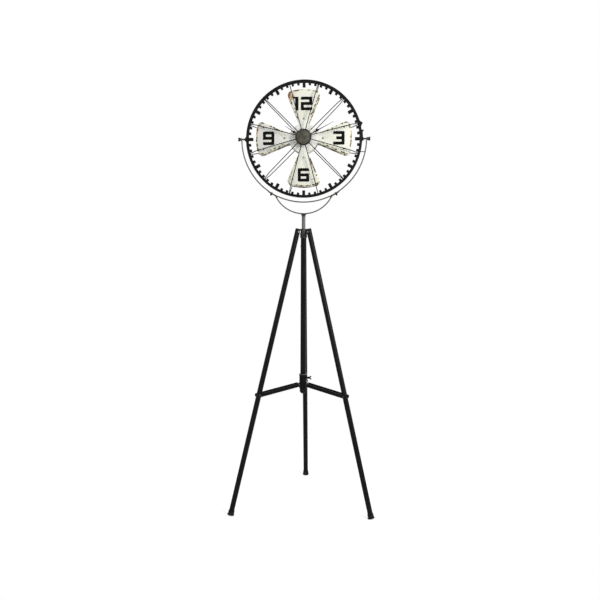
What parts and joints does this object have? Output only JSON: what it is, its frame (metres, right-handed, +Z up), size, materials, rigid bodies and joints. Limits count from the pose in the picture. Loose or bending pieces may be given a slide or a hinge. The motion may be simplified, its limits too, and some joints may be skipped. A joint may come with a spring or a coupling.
{
  "type": "double-sided tripod floor clock",
  "caption": "Open round clock with a dial on both faces, fan-like blades and wire guards, tilting in a yoke on a folding tripod with a sliding mast.",
  "frame": {"origin": "middle of the footprint on the floor", "axes": "+Z up, the front dial faces -Y, X runs across the dial"},
  "size_m": [0.5578, 0.4867, 1.662],
  "materials": {
    "black_tube": "satin black powder coat over steel tube",
    "grey_casting": "dark grey aged paint on cast metal",
    "sleeve_black": "satin black with a worn bright rim",
    "hardware": "dark oxidised steel",
    "rod_grey": "gunmetal paint on bent rod",
    "ring_black": "satin black paint",
    "wire_dark": "dark bronze grey paint on wire",
    "cap_patina": "hammered dark grey-brown patina",
    "blade_enamel": "distressed off-white enamel with rusty edges",
    "numeral_black": "matt black",
    "hand_black": "satin black",
    "black_plastic": "moulded black",
    "foot_rubber": "moulded black rubber",
    "movement_plastic": "moulded black",
    "shaft_brass": "turned",
    "cell_jacket": "plain grey jacket"
  },
  "bodies": {
    "tripod": {"tripod_head": "grey_casting", "column_tube": "black_tube", "tripod_bolts": "hardware", "column_end_cap": "black_plastic"},
    "leg_left": {"leg_tube_left": "black_tube", "leg_plug_left": "black_plastic", "foot_left": "foot_rubber"},
    "leg_right": {"leg_tube_right": "black_tube", "leg_plug_right": "black_plastic", "foot_right": "foot_rubber"},
    "leg_rear": {"leg_tube_rear": "black_tube", "leg_plug_rear": "black_plastic", "foot_rear": "foot_rubber"},
    "sleeve": {"spreader_sleeve": "sleeve_black", "sleeve_pins": "hardware"},
    "arm_left": {"spreader_arm_left": "black_tube", "spreader_rivets_left": "hardware"},
    "arm_right": {"spreader_arm_right": "black_tube", "spreader_rivets_right": "hardware"},
    "arm_rear": {"spreader_arm_rear": "black_tube", "spreader_rivets_rear": "hardware"},
    "sleeve_screw": {"sleeve_wing_screw": "hardware"},
    "thumb_screw": {"mast_thumb_screw": "hardware"},
    "mast": {"mast_post": "rod_grey", "mast_bush": "black_plastic"},
    "support": {"bow_saddle": "grey_casting", "lower_bow": "rod_grey", "bow_bolts": "hardware", "yoke_rod": "rod_grey"},
    "dial": {"dial_hoop": "ring_black", "hub_drum": "ring_black", "blade_spacers": "hardware", "blade_screws": "hardware", "batteries": "cell_jacket", "shaft_nuts": "shaft_brass", "pivot_bosses": "ring_black", "tilt_studs": "hardware", "guard_clip": "ring_black", "front_minute_track": "ring_black", "front_blades": "blade_enamel", "front_numerals": "numeral_black", "front_wire_guard": "wire_dark", "front_hub_cap": "cap_patina", "front_movement": "movement_plastic", "rear_minute_track": "ring_black", "rear_blades": "blade_enamel", "rear_numerals": "numeral_black", "rear_wire_guard": "wire_dark", "rear_hub_cap": "cap_patina", "rear_movement": "movement_plastic"},
    "nut_left": {"wing_nut_left": "hardware"},
    "nut_right": {"wing_nut_right": "hardware"},
    "front_hour": {"front_hour_tube": "shaft_brass", "front_hour_hand": "hand_black"},
    "front_minute": {"front_minute_arbor": "shaft_brass", "front_minute_hand": "hand_black"},
    "rear_hour": {"rear_hour_tube": "shaft_brass", "rear_hour_hand": "hand_black"},
    "rear_minute": {"rear_minute_arbor": "shaft_brass", "rear_minute_hand": "hand_black"}
  },
  "joints": [
    {"name": "left_leg_fold", "type": "hinge", "parent": "tripod", "child": "leg_left", "pos_m": [-0.02338, -0.09004, 1.078], "axis": [0.5, -0.866, 0], "range_deg": [0, 11.5]},
    {"name": "right_leg_fold", "type": "hinge", "parent": "tripod", "child": "leg_right", "pos_m": [0.02338, -0.09004, 1.078], "axis": [0.5, 0.866, 0], "range_deg": [0, 11.5]},
    {"name": "rear_leg_fold", "type": "hinge", "parent": "tripod", "child": "leg_rear", "pos_m": [0, -0.04954, 1.078], "axis": [-1, 0, 0], "range_deg": [0, 11.5]},
    {"name": "sleeve_slide", "type": "slide", "parent": "tripod", "child": "sleeve", "axis": [0, 0, 1], "range_m": [0, 0.1197]},
    {"name": "left_arm_fold", "type": "hinge", "parent": "sleeve", "child": "arm_left", "pos_m": [-0.01905, -0.08754, 0.477], "axis": [0.5, -0.866, 0], "range_deg": [0, 67.81]},
    {"name": "right_arm_fold", "type": "hinge", "parent": "sleeve", "child": "arm_right", "pos_m": [0.01905, -0.08754, 0.477], "axis": [0.5, 0.866, 0], "range_deg": [0, 67.81]},
    {"name": "rear_arm_fold", "type": "hinge", "parent": "sleeve", "child": "arm_rear", "pos_m": [0, -0.05454, 0.477], "axis": [-1, 0, 0], "range_deg": [0, 67.81]},
    {"name": "sleeve_screw_turn", "type": "hinge", "parent": "sleeve", "child": "sleeve_screw", "pos_m": [0.024, -0.07654, 0.503], "axis": [1, 0, 0], "range_deg": [0, 360]},
    {"name": "thumb_screw_turn", "type": "hinge", "parent": "tripod", "child": "thumb_screw", "pos_m": [0.00423, -0.09352, 1.066], "axis": [0.2419, -0.9703, 0], "range_deg": [0, 360]},
    {"name": "mast_slide", "type": "slide", "parent": "tripod", "child": "mast", "axis": [0, 0, 1], "range_m": [-0.045, 0.18]},
    {"name": "pan", "type": "hinge", "parent": "mast", "child": "support", "pos_m": [0, -0.07654, 1.1387], "axis": [0, 0, 1], "continuous": true},
    {"name": "dial_tilt", "type": "hinge", "parent": "support", "child": "dial", "pos_m": [0, -0.07654, 1.437], "axis": [-1, 0, 0], "range_deg": [0, 75]},
    {"name": "left_nut_turn", "type": "hinge", "parent": "dial", "child": "nut_left", "pos_m": [-0.242, -0.07654, 1.437], "axis": [-1, 0, 0], "range_deg": [0, 360]},
    {"name": "right_nut_turn", "type": "hinge", "parent": "dial", "child": "nut_right", "pos_m": [0.242, -0.07654, 1.437], "axis": [1, 0, 0], "range_deg": [0, 360]},
    {"name": "front_minute_turn", "type": "hinge", "parent": "dial", "child": "front_minute", "pos_m": [0, -0.07654, 1.437], "axis": [0, 1, 0], "continuous": true},
    {"name": "front_hour_turn", "type": "hinge", "parent": "dial", "child": "front_hour", "pos_m": [0, -0.07654, 1.437], "axis": [0, 1, 0], "continuous": true},
    {"name": "rear_minute_turn", "type": "hinge", "parent": "dial", "child": "rear_minute", "pos_m": [0, -0.07654, 1.437], "axis": [0, -1, 0], "continuous": true},
    {"name": "rear_hour_turn", "type": "hinge", "parent": "dial", "child": "rear_hour", "pos_m": [0, -0.07654, 1.437], "axis": [0, -1, 0], "continuous": true}
  ],
  "couplings": [
    {"joint": "right_leg_fold", "follows": "left_leg_fold", "ratio": 1},
    {"joint": "rear_leg_fold", "follows": "left_leg_fold", "ratio": 1},
    {"joint": "sleeve_slide", "follows": "left_leg_fold", "m_per_rad": 0.59599},
    {"joint": "left_arm_fold", "follows": "left_leg_fold", "ratio": 5.8924},
    {"joint": "right_arm_fold", "follows": "left_leg_fold", "ratio": 5.8924},
    {"joint": "rear_arm_fold", "follows": "left_leg_fold", "ratio": 5.8924},
    {"joint": "front_hour_turn", "follows": "front_minute_turn", "ratio": 0.083333},
    {"joint": "rear_hour_turn", "follows": "rear_minute_turn", "ratio": 0.083333}
  ]
}
